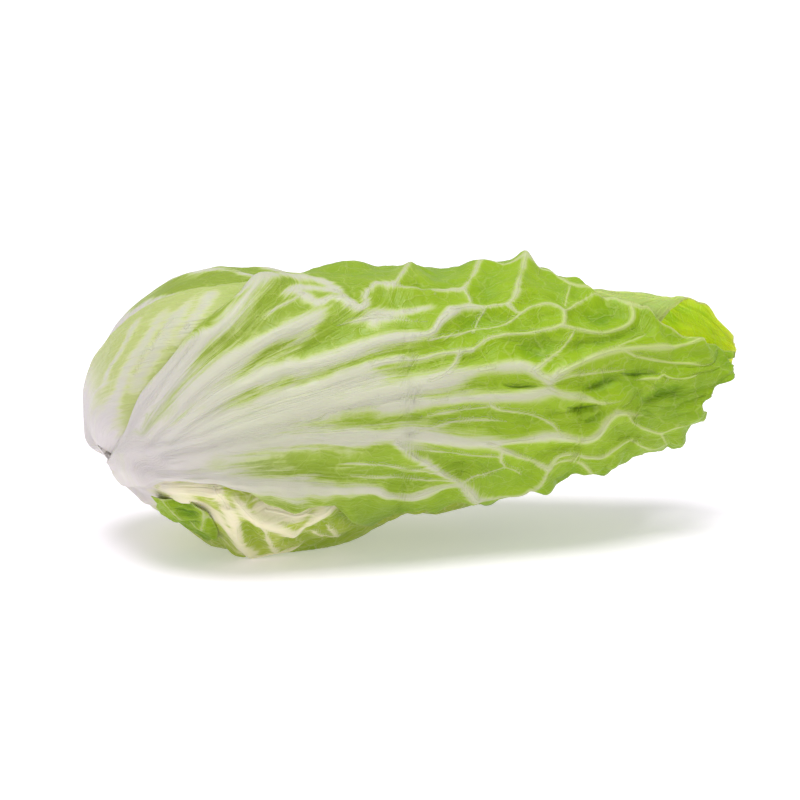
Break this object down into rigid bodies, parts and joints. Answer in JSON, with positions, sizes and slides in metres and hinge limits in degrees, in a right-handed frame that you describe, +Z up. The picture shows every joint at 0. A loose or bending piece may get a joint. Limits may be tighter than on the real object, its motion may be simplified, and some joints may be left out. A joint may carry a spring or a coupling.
{
  "type": "sugarloaf chicory",
  "caption": "Whole sugarloaf chicory head lying on its side: ribbed outer leaves with waved margins wrapped round a dense heart, with a short cut stem at one end.",
  "frame": {"origin": "on the surface that the head lies on, under the middle of its bounding box", "axes": "+X along the head from the stem to the leaf tips, +Z up, -Y towards the side with the front leaf"},
  "size_m": [0.2995, 0.1297, 0.1279],
  "materials": {
    "outer_leaf": "soft semi-gloss leaf, white fleshy ribs running into lime green blade",
    "pale_leaf": "soft semi-gloss leaf, white to cream with green streaks",
    "inner_leaf": "soft semi-gloss pale green leaf",
    "heart_leaf": "soft semi-gloss cream-yellow leaf",
    "cut_stem": "moist matte cut stem"
  },
  "bodies": {
    "root": {"leaf_front": "outer_leaf", "leaf_back": "outer_leaf", "leaf_tip": "outer_leaf", "leaf_top": "outer_leaf", "leaf_back_low": "outer_leaf", "leaf_scrap": "outer_leaf", "leaf_left": "pale_leaf", "leaf_underside": "pale_leaf", "leaf_inner_low": "inner_leaf", "leaf_inner_high": "inner_leaf", "leaf_inner_back": "inner_leaf", "heart": "heart_leaf", "stem": "cut_stem"}
  },
  "joints": []
}
